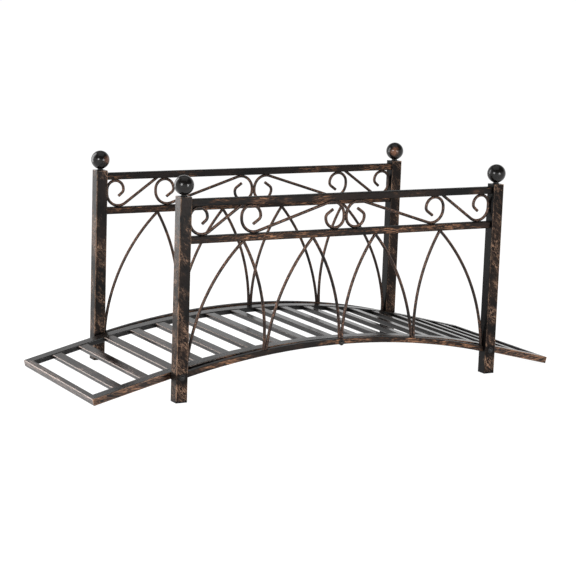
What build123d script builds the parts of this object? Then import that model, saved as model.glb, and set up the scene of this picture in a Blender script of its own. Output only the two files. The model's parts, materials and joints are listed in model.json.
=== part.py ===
"""Arched metal garden footbridge with scrolled railings, in millimetres.

+X runs along the bridge, +Y across it, +Z up, and the origin is on the ground under the middle.
Front is the -Y side, left is the -X end.
"""
import os
from math import asin, atan2, cos, degrees, sin, sqrt, tan

from build123d import *

os.makedirs("parts", exist_ok=True)

# Deck frame: two stringers, bent in the middle and straight at the ends, mitred to two end bars
deck_length = 1525
deck_width = 516
deck_radius = 2370
bend_span = 1144
deck_floor_gap = 2
stringer_width = 38
stringer_height = 20
stringer_inner_height = 14
end_bar_width = 18

# Treads: slats across the frame, even along the deck, a little below the stringers
slat_count = 17
slat_width = 28
slat_height = 12.5
slat_drop = 1.5
slat_end_gap = 60

# Posts of square tube with ball finials, and the sleeves that hold the deck between them
post_side = 35
post_height = 575
post_spacing = 1030
post_spacer = 10.5
sleeve_diameter = 12
sleeve_sides = 12
ball_diameter = 55
neck_diameter = 17
neck_height = 5

# Rails of square tube between the posts
rail_side = 20
rail_drop = 8.5
rail_clear_height = 83.5
rail_inset = 3.5
tube_corner = 1.2

# Bottom bars of smaller tube, bent a little more than the deck and a little above its middle
bar_side = 16
bar_radius = 2116
bar_rise = 2.8

# Bent round bar, drawn six-sided: pointed arches under the lower rail, scrolls between the rails
rod_diameter = 8
rod_sides = 6
weld_clearance = 0.3
overrun = 12

# Arch feet and points along half the railing, from the middle out, and the bow of the half arches
arch_foot_shares = (0, 0.496, 1)
arch_point_shares = (0.208, 0.655)
arch_bow_share = 0.075
end_arch_bow_share = 0.095

# Scroll curls, as shares of the clear height between the rails
long_reach_share = 0.671
tail_top_share = 0.638
long_curl_shares = (0.48, 0.358, 0.17, 0.25)
end_curl_shares = (0.455, 0.32, 0.17, 0.17)
long_curl_turn = 55
end_curl_turn = 50

# Derived places
half_length = deck_length / 2
half_width = deck_width / 2
rod_radius = rod_diameter / 2
bend_angle = asin(bend_span / 2 / deck_radius)
ramp_length = (half_length - bend_span / 2) / cos(bend_angle)
end_height = deck_floor_gap + stringer_height * cos(bend_angle)
arc_centre = end_height + ramp_length * sin(bend_angle) - deck_radius * cos(bend_angle)
bar_centre = arc_centre + deck_radius + bar_rise - bar_radius
post_x = post_spacing / 2
post_y = half_width + post_spacer + post_side / 2
rail_y = post_y - rail_inset
rail_half = post_x - post_side / 2
top_rail_low = post_height - rail_drop - rail_side
lower_rail_top = top_rail_low - rail_clear_height
lower_rail_low = lower_rail_top - rail_side
bend_reach = deck_radius * bend_angle
slat_reach = bend_reach + ramp_length - end_bar_width - slat_end_gap - slat_width / 2
inner_half_width = half_width - stringer_width

sides = {"front": -1, "back": 1}
ends = {"left": -1, "right": 1}


def deck_height(x, depth=0):
    """Height of the deck at x, that far below its top: an arc in the middle, then straight ramps."""
    radius = deck_radius - depth
    on_arc = min(abs(x), radius * sin(bend_angle))
    return arc_centre + sqrt(radius**2 - on_arc**2) - (abs(x) - on_arc) * tan(bend_angle)


def bar_height(x):
    """Height of a bottom bar's top at x."""
    return bar_centre + sqrt(bar_radius**2 - x**2)


def deck_place(reach, depth):
    """Place in the plane of the arch, that far along the deck from its middle and below its top."""
    angle = max(-bend_angle, min(bend_angle, reach / deck_radius))
    radius = deck_radius - depth
    ramp = reach - angle * deck_radius
    x = radius * sin(angle) + ramp * cos(angle)
    z = arc_centre + radius * cos(angle) - ramp * sin(angle)
    return Location((x, z, 0), (0, 0, -degrees(angle)))


def save(part, label):
    part.label = label
    export_step(part, f"parts/{label}.step")


def save_pairs(rods, name):
    """A node for each railing: rods drawn at the right end on the plane y = 0, and at the left end."""
    for side, across in sides.items():
        with BuildPart() as pair:
            for half_turn in (0, 180):
                with Locations(Location((0, across * rail_y, 0), (0, 0, half_turn))):
                    add(rods)
        save(pair.part, f"{side}_{name}")


def bent_rod(runs):
    """Round bar along joined lines and arcs: straight runs are drawn out, bends turned."""
    with BuildPart() as rod:
        for run in runs:
            with BuildSketch(Plane(origin=run @ 0, x_dir=(0, 1, 0), z_dir=run % 0)):
                RegularPolygon(rod_radius, rod_sides, major_radius=False)
            if run.geom_type == GeomType.LINE:
                extrude(amount=run.length)
            else:
                bend = Axis(run.arc_center, (run @ 0 - run.arc_center).cross(run % 0))
                revolve(axis=bend, revolution_arc=degrees(run.length / run.radius))
    return rod.part


def arched_bar(corners, radius, centre, half_angle):
    """Tube bent in an arc, to half_angle radians either side of the middle.

    The corners of its section are given across the bridge and up from the arc.
    """
    start = Plane(
        origin=(-radius * sin(half_angle), 0, centre + radius * cos(half_angle)),
        x_dir=(0, 1, 0),
        z_dir=(cos(half_angle), 0, sin(half_angle)),
    )
    with BuildPart() as bar:
        with BuildSketch(start) as section:
            Polygon(*corners, align=None)
            chamfer(section.vertices(), tube_corner)
        revolve(axis=Axis((0, 0, centre), (0, 1, 0)), revolution_arc=2 * degrees(half_angle))
    return bar.part


def end_plane(along):
    """Plane on the deck's top at one end, its x axis running out along the slope."""
    return Plane(
        origin=(along * half_length, 0, end_height),
        x_dir=(along * cos(bend_angle), 0, -sin(bend_angle)),
        z_dir=(along * sin(bend_angle), 0, cos(bend_angle)),
    )


def mitre_outline(reach):
    """Plan of an end bar, its mitred ends carried on past the corner by the reach."""
    spread = half_width + reach * stringer_width / end_bar_width
    Polygon(
        (reach, -spread),
        (reach, spread),
        (-end_bar_width, inner_half_width),
        (-end_bar_width, -inner_half_width),
        align=None,
    )


# Stringers: bent tube, deeper on its outer side, mitred at both ends to take the end bars
for side, across in sides.items():
    stringer_corners = [
        (across * half_width, 0),
        (across * half_width, -stringer_height),
        (across * inner_half_width, -stringer_inner_height),
        (across * inner_half_width, 0),
    ]
    with BuildPart() as stringer:
        add(arched_bar(stringer_corners, deck_radius, arc_centre, bend_angle))
        bend_ends = stringer.faces().sort_by(Axis.X)
        for bend_end in (bend_ends[0], bend_ends[-1]):
            extrude(bend_end, amount=ramp_length)
        for along in ends.values():
            with BuildSketch(end_plane(along)):
                mitre_outline(overrun)
            extrude(amount=stringer_height + overrun, both=True, mode=Mode.SUBTRACT)
    save(stringer.part, f"{side}_stringer")

# End bars: square tube lying on the slope of the arc
for end, along in ends.items():
    with BuildPart() as end_bar:
        with BuildSketch(end_plane(along)):
            mitre_outline(0)
        extrude(amount=-stringer_height)
        chamfer(end_bar.edges().filter_by(Axis.Y), tube_corner)
    save(end_bar.part, f"{end}_end_bar")

# Deck slats: flat tube between the stringers, each square to the deck
with BuildPart() as slats:
    with BuildSketch(Plane.XZ) as slat_sections:
        for slat in range(slat_count):
            reach = slat_reach * (2 * slat / (slat_count - 1) - 1)
            with Locations(deck_place(reach, slat_drop + slat_height / 2)):
                Rectangle(slat_width, slat_height)
        chamfer(slat_sections.vertices(), tube_corner)
    extrude(amount=inner_half_width, both=True)
save(slats.part, "deck_slats")

# Posts
for side, across in sides.items():
    for end, along in ends.items():
        with BuildPart() as post:
            with BuildSketch(Plane(origin=(along * post_x, across * post_y, 0))) as section:
                Rectangle(post_side, post_side)
                chamfer(section.vertices(), tube_corner)
            extrude(amount=post_height)
        save(post.part, f"{side}_{end}_post")

# Ball finials: one turned profile, a ball on a short neck, for the top of each post
ball_radius = ball_diameter / 2
neck_radius = neck_diameter / 2
ball_rise = neck_height + sqrt(ball_radius**2 - neck_radius**2)
with BuildPart() as finial:
    with BuildSketch(Plane.XZ):
        with BuildLine():
            base = Polyline((0, 0), (neck_radius, 0), (neck_radius, neck_height))
            ball = ThreePointArc(base @ 1, (ball_radius, ball_rise), (0, ball_rise + ball_radius))
            Line(ball @ 1, base @ 0)
        make_face()
    revolve(axis=Axis.Z)
with BuildPart() as finials:
    with Locations((0, 0, post_height)):
        with GridLocations(2 * post_x, 2 * post_y, len(ends), len(sides)):
            add(finial.part)
save(finials.part, "ball_finials")

# Sleeves between the deck and the posts, and between the deck and the middle of each bottom bar
sleeve_depth = stringer_height / 2
with BuildPart() as post_sleeves:
    for across in sides.values():
        for along in ends.values():
            centre = (along * post_x, across * half_width, deck_height(post_x, sleeve_depth))
            with BuildSketch(Plane(origin=centre, z_dir=(0, across, 0))):
                RegularPolygon(sleeve_diameter / 2, sleeve_sides)
            extrude(amount=post_spacer)
save(post_sleeves.part, "post_sleeves")

middle_height = (deck_height(0, sleeve_depth) + bar_height(0) - bar_side / 2) / 2
with BuildPart() as middle_sleeves:
    for across in sides.values():
        centre = (0, across * half_width, middle_height)
        with BuildSketch(Plane(origin=centre, z_dir=(0, across, 0))):
            RegularPolygon(sleeve_diameter / 2, sleeve_sides)
        extrude(amount=rail_y - bar_side / 2 - half_width)
save(middle_sleeves.part, "middle_sleeves")

# Railings: straight top and lower rails, and an arched bottom bar
for side, across in sides.items():
    for name, low in (("top_rail", top_rail_low), ("lower_rail", lower_rail_low)):
        with BuildPart() as rail:
            with BuildSketch(Plane.YZ.offset(-rail_half)) as section:
                with Locations((across * rail_y, low + rail_side / 2)):
                    Rectangle(rail_side, rail_side)
                chamfer(section.vertices(), tube_corner)
            extrude(amount=2 * rail_half)
        save(rail.part, f"{side}_{name}")

    with BuildPart() as bottom_bar:
        low_y = across * rail_y - bar_side / 2
        high_y = across * rail_y + bar_side / 2
        bar_corners = [(low_y, 0), (low_y, -bar_side), (high_y, -bar_side), (high_y, 0)]
        bar_angle = asin((rail_half + overrun) / (bar_radius - bar_side))
        add(arched_bar(bar_corners, bar_radius, bar_centre, bar_angle))
        split(bisect_by=Plane.YZ.offset(rail_half), keep=Keep.BOTTOM)
        split(bisect_by=Plane.YZ.offset(-rail_half), keep=Keep.TOP)
    save(bottom_bar.part, f"{side}_bottom_bar")


def arch_rod(foot_edge, point_edge, bow_share):
    """Half of a pointed arch, from its foot on the bottom bar to its point under the lower rail."""
    lean = 1 if point_edge > foot_edge else -1
    foot_x = foot_edge + lean * (rod_radius + weld_clearance / 2)
    foot = Vector(foot_x, 0, bar_height(foot_x))
    point = Vector(point_edge, 0, lower_rail_low)
    chord = point - foot
    bow = Vector(-chord.Z, 0, chord.X) * lean * bow_share
    bend = ThreePointArc(foot, foot + chord / 2 + bow, point)
    below = Line(foot - (bend % 0) * overrun, foot)
    above = Line(point, point + (bend % 1) * overrun)
    with BuildPart() as rod:
        add(bent_rod([below, bend, above]))
        with BuildSketch(Plane.XZ):
            with BuildLine():
                weld_edge = point_edge - lean * weld_clearance / 2
                low = min(foot_edge, weld_edge)
                high = max(foot_edge, weld_edge)
                seat = ThreePointArc(
                    (low, bar_height(low) + weld_clearance),
                    ((low + high) / 2, bar_height((low + high) / 2) + weld_clearance),
                    (high, bar_height(high) + weld_clearance),
                )
                Polyline(seat @ 1, (high, lower_rail_low), (low, lower_rail_low), seat @ 0)
            make_face()
        extrude(amount=rod_diameter, both=True, mode=Mode.INTERSECT)
    return rod.part


# Pointed arches: two half arches meet at each point, and neighbours stand side by side at the feet
half_arches = [
    (arch_foot_shares[0], arch_point_shares[0], arch_bow_share),
    (arch_foot_shares[1], arch_point_shares[0], arch_bow_share),
    (arch_foot_shares[1], arch_point_shares[1], arch_bow_share),
    (arch_foot_shares[2], arch_point_shares[1], end_arch_bow_share),
]
arch_rods = [arch_rod(foot * rail_half, point * rail_half, bow) for foot, point, bow in half_arches]
save_pairs(arch_rods, "arches")


def scroll_rod(start, reach, shares, turn):
    """Straight run from the start, then a curl that fills the height and reaches out to the reach."""
    low = lower_rail_top + weld_clearance + rod_radius
    high = top_rail_low - weld_clearance - rod_radius
    low_radius, high_radius, tip_radius, tip_length = (rail_clear_height * share for share in shares)
    to_centre = Vector(reach - low_radius, 0, low + low_radius) - start
    run = sqrt(to_centre.length**2 - low_radius**2)
    heading = atan2(to_centre.Z, to_centre.X) - asin(low_radius / to_centre.length)
    with BuildLine(Plane.XZ):
        tail = Line(start, start + Vector(cos(heading), 0, sin(heading)) * run)
        bottom = JernArc(tail @ 1, tail % 1, low_radius, 90 - degrees(heading))
        flank = Line(bottom @ 1, Vector(reach, 0, high - high_radius))
        crown = JernArc(flank @ 1, flank % 1, high_radius, 180)
        inner = JernArc(crown @ 1, crown % 1, tip_radius, turn)
        tip = Line(inner @ 1, inner @ 1 + (inner % 1) * tip_length)
    return bent_rod([tail, bottom, flank, crown, inner, tip])


# Long scrolls: an S with two like curls, turned about its middle
long_reach = long_reach_share * rail_half
middle_reach = rod_radius + weld_clearance / 2
long_middle = Vector((long_reach + middle_reach) / 2, 0, (lower_rail_top + top_rail_low) / 2)
half_scroll = scroll_rod(long_middle, long_reach, long_curl_shares, long_curl_turn)
with BuildPart() as long_scroll:
    add(half_scroll)
    add(half_scroll.rotate(Axis(long_middle, (0, 1, 0)), 180))
save_pairs([long_scroll.part], "long_scrolls")

# End scrolls: a curl against the post, its tail rising to be cut off under the top rail
tail_start = Vector(tail_top_share * rail_half, 0, top_rail_low + rail_side / 2)
end_reach = rail_half - weld_clearance - rod_radius
with BuildPart() as end_scroll:
    add(scroll_rod(tail_start, end_reach, end_curl_shares, end_curl_turn))
    split(bisect_by=Plane.XY.offset(top_rail_low), keep=Keep.BOTTOM)
save_pairs([end_scroll.part], "end_scrolls")
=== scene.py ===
"""Looks of an arched metal garden footbridge: bronze-brushed black paint, bolts, welds and studio light.

Metres, +X along the bridge, +Y across it, +Z up, on the CAD frame.
"""

import json
from math import asin, atan2, ceil, cos, pi, radians, sin, sqrt

import bpy
from mathutils import Matrix, Vector


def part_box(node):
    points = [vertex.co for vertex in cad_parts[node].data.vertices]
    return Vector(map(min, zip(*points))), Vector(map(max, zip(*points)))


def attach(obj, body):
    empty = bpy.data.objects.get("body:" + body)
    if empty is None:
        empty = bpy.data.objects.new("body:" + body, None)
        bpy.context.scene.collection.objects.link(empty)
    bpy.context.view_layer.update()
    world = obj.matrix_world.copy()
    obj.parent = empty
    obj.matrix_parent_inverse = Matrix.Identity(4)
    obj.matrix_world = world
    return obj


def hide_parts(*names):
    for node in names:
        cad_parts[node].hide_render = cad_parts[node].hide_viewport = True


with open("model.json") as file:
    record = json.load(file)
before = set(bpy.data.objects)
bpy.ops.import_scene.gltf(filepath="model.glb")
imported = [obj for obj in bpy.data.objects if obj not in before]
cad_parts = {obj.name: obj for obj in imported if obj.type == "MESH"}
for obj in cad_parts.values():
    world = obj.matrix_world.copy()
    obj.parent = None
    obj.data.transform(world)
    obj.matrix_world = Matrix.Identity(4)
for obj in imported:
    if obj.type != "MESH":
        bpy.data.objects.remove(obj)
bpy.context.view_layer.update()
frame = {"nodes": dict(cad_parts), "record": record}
nodes = frame["nodes"]
mm = 0.001


# Helpers for materials


def colour(code):
    """Linear colour from an sRGB hex code."""
    shares = [int(code[i : i + 2], 16) / 255 for i in (1, 3, 5)]
    return [s / 12.92 if s <= 0.04045 else ((s + 0.055) / 1.055) ** 2.4 for s in shares] + [1]


def add_node(tree, kind, inputs=None, **settings):
    """Adds a shader node, sets its properties, and fills its sockets with values or links."""
    node = tree.nodes.new("ShaderNode" + kind)
    for name, value in settings.items():
        setattr(node, name, value)
    for name, value in (inputs or {}).items():
        if isinstance(value, bpy.types.NodeSocket):
            tree.links.new(value, node.inputs[name])
        else:
            node.inputs[name].default_value = value
    return node


def new_material(name):
    """Empty material, with its node tree."""
    material = bpy.data.materials.new(name)
    material.use_nodes = True
    material.node_tree.nodes.clear()
    return material, material.node_tree


# Finishes

# Sizes of the marks in the paint
corner_shade_reach = 32 * mm
bare_half = 11 * mm
bare_fade = 7 * mm
bare_waver = 40 * mm
rim_fade = 1 * mm
brush_ridge = 0.3 * mm
gloss_mottle = 14 * mm
rub_core = 15 * mm
rub_reach = 31 * mm
rub_waver = 24 * mm

# Coats under the bronze, the deeper black of corners darkened as painted shade and of the bare band at the
# deck's joint, and the bronze that a hand rubs on
black_coat = "#0b0a0a"
brown_glaze = "#45332a"
bare_and_shaded_black = "#090707"
rim_black = "#0f0e0e"
plain_blacks = ("#060606", "#15110f")
plain_black_ior = 1.41
rubbed_bronze = "#8f634c"


def bronze_brushed_paint(
    name,
    turn=(0, 0, 0),
    stretch=(1, 1, 1),
    stroke=1.7 * mm,
    patch=26 * mm,
    cover=0.5,
    glaze=0.22,
    left_light_cover=(0.03, -0.22),
    left_light_span=(-0.3, 0.3),
    up_cover=0,
    up_span=(0.4, 1),
    inner_shade_cover=0,
    right_cover=0,
    right_span=(0, 0.6),
    low_cover=0.06,
    low_span=(0.2, 0.02),
    bronzes=("#614535", "#b48463"),
    edge_colour="#d3a27f",
    edge_cover=0.9,
    edge_width=2.2 * mm,
    left_edge_highlights=False,
    gloss=0.3,
    ior=1.23,
    foot_rim=0,
    bare_height=0,
):
    """Black satin paint on steel, with bronze paint dry-brushed over it by hand.

    The eye sees near-black with a thin brown glaze in places, patches of fine broken bronze
    strokes, and a line along the edges: worn bronze, but a pale painted highlight on the slats' left
    edges and a dark painted shade on the rails' rounded edges. The corners have no bronze and are
    darkened to a deeper black by ambient occlusion, as painted shade. All this is under a satin gloss
    that turns pale at a low angle. The strokes are turned and stretched the way that the brush went,
    and are coarser than a brush's hairs, so that they show in the render.

    A cover is how much bronze there is: in all, and then how much more or less on faces that look
    left (at the left end and at the right end), up or in, towards the right, and low down. The cover
    on faces that look left is painted light and shade: more bronze where the light falls from the
    left, less where those faces are shaded at the right end. The rods' up cover, the stringers' in
    cover and the slats' right cover are painted light and shade too. With left_edge_highlights, the
    edge line is a painted highlight, shown only where edges look left, most at the left end. At the
    bare height the deck's joint left no room for the brush, and the foot rim stays dark. The IOR is
    under a paint's usual 1.5, because the white floor shows in the gloss from all round.
    """
    material, tree = new_material(name)
    place = add_node(tree, "TexCoord").outputs["Object"]
    turned = add_node(tree, "Mapping", {"Vector": place, "Rotation": turn})
    lengthened = add_node(tree, "Mapping", {"Vector": turned.outputs[0], "Scale": stretch})
    strokes = add_node(
        tree,
        "TexNoise",
        {
            "Vector": lengthened.outputs[0],
            "Scale": 1 / (2 * stroke),
            "Detail": 3,
            "Roughness": 0.6,
            "Distortion": 1.1,
        },
    )
    widened = add_node(
        tree,
        "Mapping",
        {"Vector": turned.outputs[0], "Scale": [sqrt(share) for share in stretch]},
    )
    patches = add_node(
        tree,
        "TexNoise",
        {
            "Vector": widened.outputs[0],
            "Scale": 1 / (2 * patch),
            "Detail": 5,
            "Roughness": 0.65,
        },
    )
    hazes = add_node(
        tree, "TexNoise", {"Vector": place, "Scale": 1 / (5 * patch), "Detail": 3, "Distortion": 0.4}
    )

    # More or less bronze towards the right, low down, and on faces that look left, up or in. On faces that
    # look left this is painted light and shade, and so are the rods' up, the stringers' in and the slats'
    # right shares
    spot = add_node(tree, "SeparateXYZ", {"Vector": place}).outputs
    flat_normal = add_node(tree, "NewGeometry").outputs["True Normal"]
    looks = add_node(tree, "SeparateXYZ", {"Vector": flat_normal}).outputs
    side = add_node(tree, "Math", {0: spot["Y"]}, operation="SIGN")
    outwards = add_node(tree, "Math", {0: side.outputs[0], 1: looks["Y"]}, operation="MULTIPLY")
    # Painted light and shade: faces that look left get more bronze at the left end, where the light falls
    # on them, and less at the right end, where they are shaded
    left_light_amount = add_node(
        tree,
        "MapRange",
        {
            "Value": spot["X"],
            "From Min": left_light_span[0],
            "From Max": left_light_span[1],
            "To Min": left_light_cover[0],
            "To Max": left_light_cover[1],
        },
    )
    shares = []
    for value, start, end, amount in (
        (spot["X"], *right_span, right_cover),
        (spot["Z"], *low_span, low_cover),
        (looks["X"], -0.4, -1, left_light_amount.outputs[0]),
        (looks["Z"], *up_span, up_cover),
        (outwards.outputs[0], -0.4, -1, inner_shade_cover),
    ):
        if amount:
            share = add_node(
                tree,
                "MapRange",
                {"Value": value, "From Min": start, "From Max": end, "To Max": amount},
            )
            shares.append(share)
    fuller = shares[0]
    for share in shares[1:]:
        fuller = add_node(
            tree, "Math", {0: fuller.outputs[0], 1: share.outputs[0]}, operation="ADD"
        )
    patches = add_node(
        tree, "Math", {0: patches.outputs[0], 1: fuller.outputs[0]}, operation="ADD"
    )
    hazes = add_node(tree, "Math", {0: hazes.outputs[0], 1: fuller.outputs[0]}, operation="ADD")

    in_patch = add_node(
        tree,
        "MapRange",
        {"Value": patches.outputs[0], "From Min": 0.6 - 0.3 * cover, "From Max": 0.82 - 0.3 * cover},
        interpolation_type="SMOOTHSTEP",
    )
    in_stroke = add_node(
        tree,
        "MapRange",
        {"Value": strokes.outputs[0], "From Min": 0.44, "From Max": 0.64},
        interpolation_type="SMOOTHSTEP",
    )
    brushed = add_node(
        tree, "Math", {0: in_patch.outputs[0], 1: in_stroke.outputs[0]}, operation="MULTIPLY"
    )
    glazed = add_node(
        tree,
        "MapRange",
        {"Value": hazes.outputs[0], "From Min": 0.38, "From Max": 0.68, "To Max": glaze},
    )

    # Edge line (worn bronze, a painted highlight on the slats and a painted shade on the rails), and
    # corners with no bronze, darkened as painted shade
    round_normal = add_node(tree, "Bevel", {"Radius": edge_width}, samples=6)
    bend = add_node(
        tree,
        "VectorMath",
        {0: round_normal.outputs[0], 1: flat_normal},
        operation="DOT_PRODUCT",
    )
    edge = add_node(
        tree,
        "MapRange",
        {"Value": bend.outputs["Value"], "From Min": 0.99, "From Max": 0.94, "To Max": edge_cover},
    )
    if not left_edge_highlights:
        rubbed = add_node(
            tree, "MapRange", {"Value": patches.outputs[0], "From Min": 0.38, "From Max": 0.58}
        )
        edge = add_node(
            tree, "Math", {0: edge.outputs[0], 1: rubbed.outputs[0]}, operation="MULTIPLY"
        )
    else:
        # Painted highlight: the edge line shows only on edges that look left, and fades out towards the
        # right
        turned_left = add_node(
            tree, "VectorMath", {0: round_normal.outputs[0], 1: (-1, 0, 0)}, operation="DOT_PRODUCT"
        )
        facing = add_node(
            tree,
            "MapRange",
            {"Value": turned_left.outputs["Value"], "From Min": 0.1, "From Max": 0.5},
        )
        fading = add_node(
            tree,
            "MapRange",
            {"Value": spot["X"], "From Min": -0.05, "From Max": -0.35, "To Min": 0.1},
        )
        for share in (facing, fading):
            edge = add_node(
                tree, "Math", {0: edge.outputs[0], 1: share.outputs[0]}, operation="MULTIPLY"
            )
    # Painted shade: ambient occlusion finds the corners, and there the paint goes to a deeper black with
    # no bronze, which the brush also missed
    corner = add_node(tree, "AmbientOcclusion", {"Distance": corner_shade_reach}, samples=6)
    unshaded_and_brushable = add_node(
        tree, "MapRange", {"Value": corner.outputs["AO"], "From Min": 0.4, "From Max": 0.8}
    )
    if bare_height:
        uneven = add_node(
            tree,
            "Math",
            {0: patches.outputs[0], 1: bare_waver, 2: spot["Z"]},
            operation="MULTIPLY_ADD",
        )
        off = add_node(
            tree,
            "Math",
            {0: uneven.outputs[0], 1: bare_height + bare_waver / 2},
            operation="SUBTRACT",
        )
        away = add_node(tree, "Math", {0: off.outputs[0]}, operation="ABSOLUTE")
        brushable = add_node(
            tree,
            "MapRange",
            {
                "Value": away.outputs[0],
                "From Min": bare_half,
                "From Max": bare_half + bare_fade,
                "To Min": 0.1,
            },
        )
        unshaded_and_brushable = add_node(
            tree, "Math", {0: unshaded_and_brushable.outputs[0], 1: brushable.outputs[0]}, operation="MULTIPLY"
        )

    grain = add_node(
        tree, "MapRange", {"Value": strokes.outputs[0], "From Min": 0.4, "From Max": 0.75}
    )
    bronze = add_node(
        tree,
        "Mix",
        {0: grain.outputs[0], 6: colour(bronzes[0]), 7: colour(bronzes[1])},
        data_type="RGBA",
    )
    paint = add_node(
        tree,
        "Mix",
        {0: glazed.outputs[0], 6: colour(black_coat), 7: colour(brown_glaze)},
        data_type="RGBA",
    )
    for mask, coat in ((brushed, bronze.outputs[2]), (edge, colour(edge_colour))):
        paint = add_node(
            tree,
            "Mix",
            {0: mask.outputs[0], 6: paint.outputs[2], 7: coat},
            data_type="RGBA",
        )
    paint = add_node(
        tree,
        "Mix",
        {0: unshaded_and_brushable.outputs[0], 6: colour(bare_and_shaded_black), 7: paint.outputs[2]},
        data_type="RGBA",
    )
    if foot_rim:
        above_rim = add_node(
            tree,
            "MapRange",
            {"Value": spot["Z"], "From Min": foot_rim, "From Max": foot_rim + rim_fade},
        )
        paint = add_node(
            tree,
            "Mix",
            {0: above_rim.outputs[0], 6: colour(rim_black), 7: paint.outputs[2]},
            data_type="RGBA",
        )

    rough = add_node(
        tree,
        "MapRange",
        {
            "Value": strokes.outputs[0],
            "From Min": 0.3,
            "From Max": 0.7,
            "To Min": gloss - 0.02,
            "To Max": gloss + 0.16,
        },
    )
    bump = add_node(
        tree,
        "Bump",
        {
            "Strength": 0.3,
            "Distance": brush_ridge,
            "Height": brushed.outputs[0],
            "Normal": round_normal.outputs[0],
        },
    )
    surface = add_node(
        tree,
        "BsdfPrincipled",
        {
            "Base Color": paint.outputs[2],
            "Roughness": rough.outputs[0],
            "IOR": ior,
            "Normal": bump.outputs[0],
        },
    )
    add_node(tree, "OutputMaterial", {"Surface": surface.outputs[0]})
    return material


def black_paint(name, gloss, rubs=()):
    """Black paint on steel: near-black, with soft unevenness in its gloss.

    Rubs are places where a hand rubbed a little bronze on it, each with how much of it shows.
    """
    material, tree = new_material(name)
    place = add_node(tree, "TexCoord").outputs["Object"]
    haze = add_node(tree, "TexNoise", {"Vector": place, "Scale": 1 / gloss_mottle, "Detail": 3})
    rough = add_node(
        tree, "MapRange", {"Value": haze.outputs[0], "To Min": gloss, "To Max": gloss + 0.08}
    )
    paint = add_node(
        tree,
        "Mix",
        {0: haze.outputs[0], 6: colour(plain_blacks[0]), 7: colour(plain_blacks[1])},
        data_type="RGBA",
    )
    for centre, amount in rubs:
        away = add_node(tree, "VectorMath", {0: place, 1: centre}, operation="DISTANCE")
        uneven = add_node(
            tree,
            "Math",
            {0: haze.outputs[0], 1: rub_waver, 2: away.outputs["Value"]},
            operation="MULTIPLY_ADD",
        )
        rub = add_node(
            tree,
            "MapRange",
            {"Value": uneven.outputs[0], "From Min": rub_reach, "From Max": rub_core, "To Max": amount},
            interpolation_type="SMOOTHSTEP",
        )
        paint = add_node(
            tree,
            "Mix",
            {0: rub.outputs[0], 6: paint.outputs[2], 7: colour(rubbed_bronze)},
            data_type="RGBA",
        )
    surface = add_node(
        tree,
        "BsdfPrincipled",
        {"Base Color": paint.outputs[2], "Roughness": rough.outputs[0], "IOR": plain_black_ior},
    )
    add_node(tree, "OutputMaterial", {"Surface": surface.outputs[0]})
    return material


# Ways that the brush went, as a turn and as stretches along the three axes
diagonal = (radians(20), radians(38), 0)
along_x = (0.12, 1, 1)
along_y = (1, 0.06, 1)
along_z = (1, 1, 0.22)

# Where the deck's sleeves meet the posts and the bottom bars
post_sleeve_z = sum(corner[2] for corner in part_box("post_sleeves")) / 2
middle_sleeve_z = sum(corner[2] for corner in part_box("middle_sleeves")) / 2

# Rubbed places on the fronts of the two back balls
back_ball_rubs = [((0.501, 0.262, 0.607), 0.75), ((-0.5, 0.263, 0.61), 0.4)]

finishes = {
    "post_paint": bronze_brushed_paint(
        "bronze_brushed_post",
        turn=diagonal,
        stretch=along_z,
        patch=20 * mm,
        cover=0.5,
        right_cover=0.04,
        bronzes=("#5b473c", "#aa876e"),
        edge_colour="#cba58a",
        gloss=0.24,
        ior=1.2,
        foot_rim=4 * mm,
        bare_height=post_sleeve_z,
    ),
    # Painted shade: a dark line along the rails' rounded edges
    "rail_paint": bronze_brushed_paint(
        "bronze_brushed_rail",
        stretch=along_x,
        cover=0.42,
        up_cover=-0.3,
        low_cover=0.1,
        low_span=(0.53, 0.47),
        edge_colour="#0e0d0b",
        edge_width=4.5 * mm,
        gloss=0.46,
    ),
    "bar_paint": bronze_brushed_paint(
        "bronze_brushed_bar",
        stretch=along_x,
        cover=0.64,
        up_cover=-0.2,
        right_cover=0.04,
        edge_colour="#352b26",
        edge_width=3 * mm,
        gloss=0.34,
        ior=1.24,
    ),
    # Painted light: rod faces that look up, and those that look left, get more bronze, as if lit from the
    # upper left
    "rod_paint": bronze_brushed_paint(
        "bronze_rubbed_rod",
        cover=0.4,
        glaze=0.42,
        left_light_cover=(0.08, 0.04),
        up_cover=0.3,
        up_span=(-0.1, 0.35),
        bronzes=("#584135", "#a77e67"),
        edge_cover=0,
        edge_width=0.5 * mm,
        ior=1.29,
    ),
    # Painted shade: the stringers' inner faces get much less bronze and stay black, and faces that look
    # left lose bronze towards the right end
    "stringer_paint": bronze_brushed_paint(
        "bronze_brushed_stringer",
        stretch=along_x,
        cover=0.5,
        left_light_cover=(0, -0.25),
        up_cover=-0.2,
        inner_shade_cover=-0.6,
        right_cover=0.1,
        gloss=0.2,
        ior=1.37,
    ),
    # Painted light and shade: at the left end the slats' left faces get pale bronze as painted light,
    # towards the right the slats lose bronze and go black as painted shade, and their left edges carry a
    # pale painted highlight
    "slat_paint": bronze_brushed_paint(
        "bronze_brushed_slat",
        stretch=along_y,
        cover=0.3,
        left_light_cover=(0.2, -0.12),
        left_light_span=(-0.75, -0.72),
        up_cover=-0.02,
        right_cover=-0.3,
        right_span=(-0.4, 0),
        bronzes=("#5a4b44", "#bfa59a"),
        edge_colour="#efd6c9",
        left_edge_highlights=True,
        gloss=0.15,
        ior=1.37,
    ),
    "finial_paint": black_paint("gloss_black_finial", 0.16, rubs=back_ball_rubs),
    "sleeve_paint": black_paint("plain_black_sleeve", 0.36),
}
for subpart in frame["record"]["subparts"]:
    nodes[subpart["node"]].material_slots[0].material = finishes[subpart["material_slot"]]


# Helpers for pieces


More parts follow.
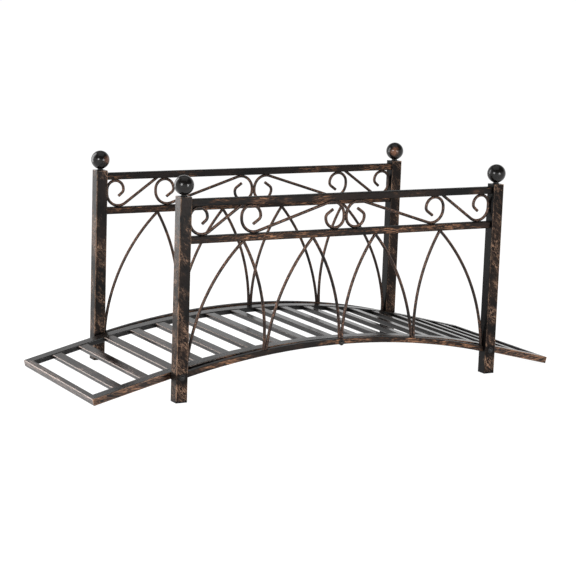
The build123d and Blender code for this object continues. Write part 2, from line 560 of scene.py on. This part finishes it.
def open_piece(name):
    """Names the new primitive, moves its place into its mesh and opens it in edit mode, all selected."""
    piece = bpy.context.object
    piece.name = name
    bpy.ops.object.transform_apply(location=True, rotation=True, scale=True)
    bpy.ops.object.mode_set(mode="EDIT")
    bpy.ops.mesh.select_all(action="SELECT")
    return piece


def close_piece(sharp=radians(40)):
    """Merges doubled points, closes open ends, turns faces outwards and shades up to sharp edges."""
    bpy.ops.mesh.select_all(action="SELECT")
    bpy.ops.mesh.remove_doubles(threshold=0.02 * mm)
    bpy.ops.mesh.fill_holes(sides=0)
    bpy.ops.mesh.normals_make_consistent(inside=False)
    bpy.ops.object.mode_set(mode="OBJECT")
    bpy.ops.object.shade_smooth_by_angle(angle=sharp)


def copied(piece, place):
    """Copy of a piece with its own mesh, put in place."""
    copy = piece.copy()
    copy.data = piece.data.copy()
    copy.data.transform(place)
    bpy.context.scene.collection.objects.link(copy)
    return copy


def joined(pieces, name, slot, *replaced):
    """Makes one named piece of several, with its finish and body, in place of the CAD nodes named."""
    bpy.ops.object.select_all(action="DESELECT")
    for piece in pieces:
        piece.select_set(True)
    bpy.context.view_layer.objects.active = pieces[0]
    bpy.ops.object.join()
    whole = pieces[0]
    whole.name = name
    whole.data.name = name
    whole.data.materials.clear()
    whole.data.materials.append(finishes[slot])
    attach(whole, "root")
    if replaced:
        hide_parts(*replaced)


half_turn = Matrix.Rotation(pi, 4, "Z")
both_ends = (Matrix.Identity(4), half_turn)

# Places on the front railing
top_rail_low, top_rail_high = (Vector(corner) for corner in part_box("front_top_rail"))
lower_rail_low, lower_rail_high = (Vector(corner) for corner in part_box("front_lower_rail"))
bar_low, bar_high = (Vector(corner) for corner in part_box("front_bottom_bar"))
rail_half = top_rail_high.x
rail_y = (top_rail_low.y + top_rail_high.y) / 2
clear_height = top_rail_low.z - lower_rail_high.z
railings = {"front": rail_y, "back": -rail_y}

# Rods of round bar: the same runs as the solids, drawn round at the thickness that shows
rod_radius = 4 * mm
drawn_rod_radius = 4.5 * mm
rod_sides = 14
bend_step = radians(8)
longest_step = 22 * mm
fewest_steps = 3
bar_radius = 2116 * mm
sunk = 3 * mm
arch_foot_shares = (0, 0.496, 1)
arch_point_shares = (0.208, 0.655)
arch_bow_share = 0.075
end_arch_bow_share = 0.095
long_reach_share = 0.671
tail_top_share = 0.638
long_curl_shares = (0.48, 0.358, 0.17, 0.25)
end_curl_shares = (0.455, 0.32, 0.17, 0.17)
long_curl_turn = radians(55)
end_curl_turn = radians(50)


def bar_height(x):
    """Height of a bottom bar's top at x."""
    return bar_high.z - bar_radius + sqrt(bar_radius**2 - x**2)


def step_on(place, heading, length, turn):
    """Place and heading at the end of a run: a straight length, or an arc if it turns."""
    if not turn:
        return place + Vector((cos(heading), 0, sin(heading))) * length, heading
    radius = length / turn
    centre = place + Vector((-sin(heading), 0, cos(heading))) * radius
    heading += turn
    return centre + Vector((sin(heading), 0, -cos(heading))) * radius, heading


def bent_rod(name, place, heading, runs):
    """Round bar bent in the plane y = 0, drawn out run by run: each is a length and a turn."""
    bpy.ops.object.select_all(action="DESELECT")
    bpy.ops.mesh.primitive_circle_add(
        vertices=rod_sides,
        radius=drawn_rod_radius,
        location=place,
        rotation=(0, pi / 2 - heading, 0),
    )
    rod = open_piece(name)
    for length, turn in runs:
        start = place
        place, new_heading = step_on(place, heading, length, turn)
        if turn:
            centre = start + Vector((-sin(heading), 0, cos(heading))) * length / turn
            steps = max(fewest_steps, ceil(abs(turn) / bend_step), ceil(length / longest_step))
            bpy.ops.mesh.spin(steps=steps, angle=turn, center=centre, axis=(0, 1, 0))
        else:
            bpy.ops.mesh.extrude_region_move(TRANSFORM_OT_translate={"value": place - start})
        heading = new_heading
    close_piece()
    return rod


def arch_rod(foot_edge, point_edge, bow_share):
    """Half of a pointed arch, from its foot on the bottom bar to its point under the lower rail."""
    lean = 1 if point_edge > foot_edge else -1
    foot_x = foot_edge + lean * rod_radius
    foot = Vector((foot_x, 0, bar_height(foot_x)))
    chord = Vector((point_edge, 0, lower_rail_low.z)) - foot
    turn = -lean * 4 * atan2(2 * bow_share, 1)
    length = chord.length / 2 / sin(abs(turn) / 2) * abs(turn)
    heading = atan2(chord.z, chord.x) - turn / 2
    start = foot - Vector((cos(heading), 0, sin(heading))) * sunk
    rod = bent_rod("half_arch", start, heading, [(sunk, 0), (length, turn), (2 * sunk, 0)])
    bpy.ops.object.mode_set(mode="EDIT")
    bpy.ops.mesh.select_all(action="SELECT")
    bpy.ops.mesh.bisect(
        plane_co=(point_edge, 0, 0), plane_no=(lean, 0, 0), use_fill=True, clear_outer=True
    )
    close_piece()
    return rod


def curl_runs(start, reach, shares, turn):
    """Heading and runs of a scroll: a straight stretch, then a curl that fills the height."""
    low = lower_rail_high.z + rod_radius
    high = top_rail_low.z - rod_radius
    low_radius, high_radius, tip_radius, tip_length = (clear_height * share for share in shares)
    to_centre = Vector((reach - low_radius, 0, low + low_radius)) - start
    heading = atan2(to_centre.z, to_centre.x) - asin(low_radius / to_centre.length)
    rise = pi / 2 - heading
    return heading, [
        (sqrt(to_centre.length**2 - low_radius**2), 0),
        (low_radius * rise, rise),
        (high - high_radius - low - low_radius, 0),
        (high_radius * pi, pi),
        (tip_radius * turn, turn),
        (tip_length, 0),
    ]


half_arches = [
    (arch_foot_shares[0], arch_point_shares[0], arch_bow_share),
    (arch_foot_shares[1], arch_point_shares[0], arch_bow_share),
    (arch_foot_shares[1], arch_point_shares[1], arch_bow_share),
    (arch_foot_shares[2], arch_point_shares[1], end_arch_bow_share),
]
arch_rods = [arch_rod(foot * rail_half, point * rail_half, bow) for foot, point, bow in half_arches]

# Long scroll: an S with two like curls, drawn from one tip to the other
long_reach = long_reach_share * rail_half
long_middle = Vector(((long_reach + rod_radius) / 2, 0, (lower_rail_high.z + top_rail_low.z) / 2))
long_heading, long_runs = curl_runs(long_middle, long_reach, long_curl_shares, long_curl_turn)
tip_place, tip_heading = long_middle, long_heading
for length, turn in long_runs:
    tip_place, tip_heading = step_on(tip_place, tip_heading, length, turn)
runs_back = [(length, -turn) for length, turn in reversed(long_runs)]
long_scroll = bent_rod("long_scroll", 2 * long_middle - tip_place, tip_heading, runs_back + long_runs)

# End scroll: a curl against the post, its tail rising into the top rail
tail_start = Vector((tail_top_share * rail_half, 0, (top_rail_low.z + top_rail_high.z) / 2))
end_reach = rail_half - rod_radius
end_heading, end_runs = curl_runs(tail_start, end_reach, end_curl_shares, end_curl_turn)
end_scroll = bent_rod("end_scroll", tail_start, end_heading, end_runs)

rod_sets = {"arches": arch_rods, "long_scrolls": [long_scroll], "end_scrolls": [end_scroll]}
for rod_set, rods in rod_sets.items():
    for side, y in railings.items():
        shift = Matrix.Translation((0, y, 0))
        copies = [copied(rod, shift @ end) for rod in rods for end in both_ends]
        joined(copies, f"{side}_{rod_set}_round", "rod_paint", f"{side}_{rod_set}")
for rods in rod_sets.values():
    for rod in rods:
        bpy.data.objects.remove(rod)


# Ball finials: a ball cut flat at its neck, with the neck drawn down to a small collar on the post
ball_diameter = 55 * mm
neck_radius = 8.5 * mm
collar_radius = 10 * mm
collar_height = 1.4 * mm
post_low, post_high = (Vector(corner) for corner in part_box("front_left_post"))
finial_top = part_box("ball_finials")[1][2]
ball_centre = Vector((0, 0, finial_top - ball_diameter / 2))
neck_top = ball_centre.z - sqrt((ball_diameter / 2) ** 2 - neck_radius**2)
bpy.ops.object.select_all(action="DESELECT")
bpy.ops.mesh.primitive_uv_sphere_add(
    segments=48, ring_count=32, radius=ball_diameter / 2, location=ball_centre
)
finial = open_piece("finial")
bpy.ops.mesh.bisect(plane_co=(0, 0, neck_top), plane_no=(0, 0, -1), clear_outer=True)
for drop, widen in (
    (neck_top - post_high.z - 2 * collar_height, 1),
    (collar_height, collar_radius / neck_radius),
    (collar_height, 1),
):
    bpy.ops.mesh.extrude_region_move(TRANSFORM_OT_translate={"value": (0, 0, -drop)})
    bpy.ops.transform.resize(value=(widen, widen, 1), center_override=(0, 0, post_high.z))
close_piece()
post_centre = (post_low + post_high) / 2
finials = [
    copied(finial, Matrix.Translation((along * post_centre.x, across * post_centre.y, 0)))
    for along in (1, -1)
    for across in (1, -1)
]
joined(finials, "ball_finials_turned", "finial_paint", "ball_finials")
bpy.data.objects.remove(finial)

# Dome-headed bolts with washers, where the deck is held between the railings. Each step of the
# dome stops a little short, which leaves a small flat on top.
washer_radius = 9 * mm
washer_height = 1.3 * mm
dome_radius = 5.6 * mm
dome_height = 4 * mm
dome_steps = 4
dome_step_share = 0.92
bpy.ops.object.select_all(action="DESELECT")
bpy.ops.mesh.primitive_circle_add(
    vertices=24, radius=washer_radius, fill_type="NGON", rotation=(pi / 2, 0, 0)
)
bolt = open_piece("bolt")
bpy.ops.mesh.extrude_region_move(TRANSFORM_OT_translate={"value": (0, -washer_height, 0)})
bpy.ops.mesh.inset(thickness=washer_radius - dome_radius)
for step in range(dome_steps):
    low_angle = step / dome_steps * pi / 2
    high_angle = (step + dome_step_share) / dome_steps * pi / 2
    rise = dome_height * (sin(high_angle) - sin(low_angle))
    narrow = cos(high_angle) / cos(low_angle)
    bpy.ops.mesh.extrude_region_move(TRANSFORM_OT_translate={"value": (0, -rise, 0)})
    bpy.ops.transform.resize(value=(narrow, 1, narrow), center_override=(0, 0, 0))
close_piece()
bolt_places = [
    (-post_centre.x, post_low.y, post_sleeve_z),
    (post_centre.x, post_low.y, post_sleeve_z),
    (0, bar_low.y, middle_sleeve_z),
]
bolts = [copied(bolt, end @ Matrix.Translation(place)) for end in both_ends for place in bolt_places]
joined(bolts, "deck_bolts", "finial_paint")
bpy.data.objects.remove(bolt)

# Weld beads: one uneven bead, drawn long, at each place where a rod is welded
bead_radius = 5.1 * mm
bead_flatness = 0.55
bead_unevenness = 0.6 * mm
bpy.ops.object.select_all(action="DESELECT")
bpy.ops.mesh.primitive_ico_sphere_add(subdivisions=2, radius=bead_radius)
bead = open_piece("bead")
bpy.ops.transform.resize(value=(1, 1, bead_flatness))
bpy.ops.transform.vertex_random(offset=bead_unevenness, seed=3)
bpy.ops.mesh.vertices_smooth(factor=0.4)
close_piece(radians(70))


def curl_welds(reach, shares):
    """Places where a curl touches the lower rail and the top rail."""
    low_radius, high_radius = (clear_height * share for share in shares[:2])
    return [(reach - low_radius, lower_rail_high.z), (reach - high_radius, top_rail_low.z)]


foot_places = [(share * rail_half, bar_height(share * rail_half)) for share in arch_foot_shares]
point_places = [(share * rail_half, lower_rail_low.z) for share in arch_point_shares]
right_curl = curl_welds(long_reach, long_curl_shares)
left_curl = [(2 * long_middle.x - x, 2 * long_middle.z - z) for x, z in right_curl]
tail_x = tail_start.x - (tail_start.z - top_rail_low.z) / sin(end_heading) * cos(end_heading)
end_places = curl_welds(end_reach, end_curl_shares) + [(tail_x, top_rail_low.z)]
upright_places = [(rail_half, long_middle.z), (0, long_middle.z - clear_height / 20)]
for side, y in railings.items():
    beads = []
    for end in both_ends:
        for x, z in foot_places + point_places + right_curl + left_curl + end_places:
            beads.append(copied(bead, Matrix.Translation((0, y, 0)) @ end @ Matrix.Translation((x, 0, z))))
        for x, z in upright_places:
            upright = Matrix.Translation((x, 0, z)) @ Matrix.Rotation(pi / 2, 4, "Y")
            beads.append(copied(bead, Matrix.Translation((0, y, 0)) @ end @ upright))
    joined(beads, f"{side}_weld_beads", "rod_paint")
bpy.data.objects.remove(bead)


# Studio: white floor, a pale wall behind, two softboxes beside the camera, a panel and one overhead

seen_kinds = ("Is Camera Ray", "Is Glossy Ray", "Is Transmission Ray")


def seen(tree):
    """1 for rays that look at the floor, straight or in a reflection, else 0."""
    light_path = add_node(tree, "LightPath").outputs
    looks = light_path[seen_kinds[0]]
    for kind in seen_kinds[1:]:
        looks = add_node(tree, "Math", {0: looks, 1: light_path[kind]}, operation="MAXIMUM").outputs[0]
    return looks


world = bpy.data.worlds.new("studio")
bpy.context.scene.world = world
world.use_nodes = True
world.node_tree.nodes.clear()
tree = world.node_tree
look = add_node(tree, "TexCoord").outputs["Object"]
towards = add_node(tree, "SeparateXYZ", {"Vector": look}).outputs

# White low down all round, then dimmer: soon on the camera's side, higher up on the wall behind
front_side, back_side = -0.2, 0.4
white_up_to = radians(11)
dim_from = (radians(18), radians(46))
dim_levels = (0.12, 0.28)
front_to_back = []
for front, back in ([sin(angle) for angle in dim_from], dim_levels):
    change = add_node(
        tree,
        "MapRange",
        {
            "Value": towards["Y"],
            "From Min": front_side,
            "From Max": back_side,
            "To Min": front,
            "To Max": back,
        },
    )
    front_to_back.append(change.outputs[0])
level = add_node(
    tree,
    "MapRange",
    {
        "Value": towards["Z"],
        "From Min": sin(white_up_to),
        "From Max": front_to_back[0],
        "To Min": 1,
        "To Max": front_to_back[1],
    },
    interpolation_type="SMOOTHSTEP",
)
room = add_node(tree, "Background", {"Color": colour("#ffffff"), "Strength": level.outputs[0]})
add_node(tree, "OutputWorld", {"Surface": room.outputs[0]})

# The floor is seen nearly white by its own glow, and a grey share of its light keeps the shadow
floor_size = 200
floor_glow = 0.94
floor_material, tree = new_material("white_floor")
looks = seen(tree)
pale = add_node(
    tree, "Mix", {0: looks, 6: colour("#f4f4f4"), 7: colour("#8c8c8c")}, data_type="RGBA"
)
shade = add_node(tree, "BsdfDiffuse", {"Color": pale.outputs[2]})
level = add_node(tree, "MapRange", {"Value": looks, "To Max": floor_glow})
glow = add_node(tree, "Emission", {"Color": colour("#ffffff"), "Strength": level.outputs[0]})
both = add_node(tree, "AddShader", {0: shade.outputs[0], 1: glow.outputs[0]})
add_node(tree, "OutputMaterial", {"Surface": both.outputs[0]})

bpy.ops.object.select_all(action="DESELECT")
bpy.ops.mesh.primitive_plane_add(size=floor_size)
floor = bpy.context.object
floor.name = "floor"
floor.data.materials.append(floor_material)

bridge_middle = Vector((0, 0, 0.3))


def softbox(name, azimuth, elevation, distance, width, height, power):
    """Oblong area lamp that faces the middle of the bridge."""
    towards = Vector((sin(azimuth) * cos(elevation), -cos(azimuth) * cos(elevation), sin(elevation)))
    lamp = bpy.data.lights.new(name, "AREA")
    lamp.energy = power
    lamp.shape = "RECTANGLE"
    lamp.size = width
    lamp.size_y = height
    box = bpy.data.objects.new(name, lamp)
    box.location = bridge_middle + towards * distance
    box.rotation_euler = towards.to_track_quat("Z", "Y").to_euler()
    box.visible_camera = False
    bpy.context.scene.collection.objects.link(box)


# Azimuth and elevation as seen from the bridge, distance, width, height and watts
softbox("left_softbox", radians(-56), radians(16), 3.6, 0.9, 1.05, 52)
softbox("right_softbox", radians(12), radians(8), 3.6, 0.9, 1.0, 50)
softbox("left_back_panel", radians(-133), radians(19.4), 1.79, 0.72, 1.7, 20)
softbox("top_softbox", radians(-30), radians(84), 4.0, 4.0, 4.0, 34)

# Camera at the photograph's place
camera_place = Vector((-2.8084, -4.9959, 1.3094))
camera_yaw, camera_pitch, camera_roll = radians(29.158), radians(-10.589), radians(2.003)
camera_lens = 121.15
camera_sensor = 36
camera_data = bpy.data.cameras.new("camera")
camera_data.sensor_width = camera_sensor
camera_data.lens = camera_lens
camera = bpy.data.objects.new("camera", camera_data)
turn = (
    Matrix.Rotation(-camera_yaw, 4, "Z")
    @ Matrix.Rotation(pi / 2 + camera_pitch, 4, "X")
    @ Matrix.Rotation(camera_roll, 4, "Z")
)
camera.matrix_world = Matrix.Translation(camera_place) @ turn
bpy.context.scene.collection.objects.link(camera)
bpy.context.scene.camera = camera
bpy.context.scene.view_settings.view_transform = "Standard"

bpy.context.view_layer.update()
